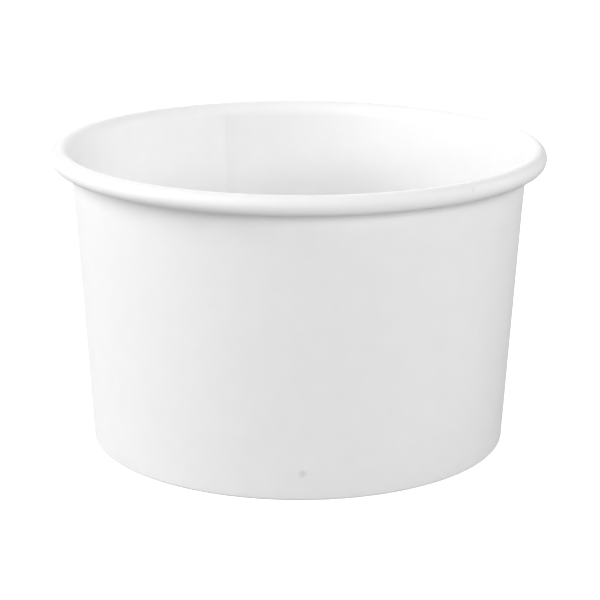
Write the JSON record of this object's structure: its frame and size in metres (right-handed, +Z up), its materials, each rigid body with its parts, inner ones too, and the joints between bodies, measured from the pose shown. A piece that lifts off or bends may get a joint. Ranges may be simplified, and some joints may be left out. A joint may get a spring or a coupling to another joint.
{
  "type": "paper sundae cup",
  "caption": "Wide plain white paperboard sundae cup with an outward rolled rim, a lapped side seam, a folded foot and a recessed base disc.",
  "frame": {"origin": "centre of the foot, on the surface that the cup stands on", "axes": "+Z up along the cup's axis, -Y towards the front, +X to the right; the side seam is at the back"},
  "size_m": [0.097, 0.097, 0.059],
  "materials": {
    "wall_board": "white coated paperboard, satin",
    "base_board": "white coated paperboard, satin"
  },
  "bodies": {
    "root": {"side_wall": "wall_board", "base_disc": "base_board"}
  },
  "joints": []
}
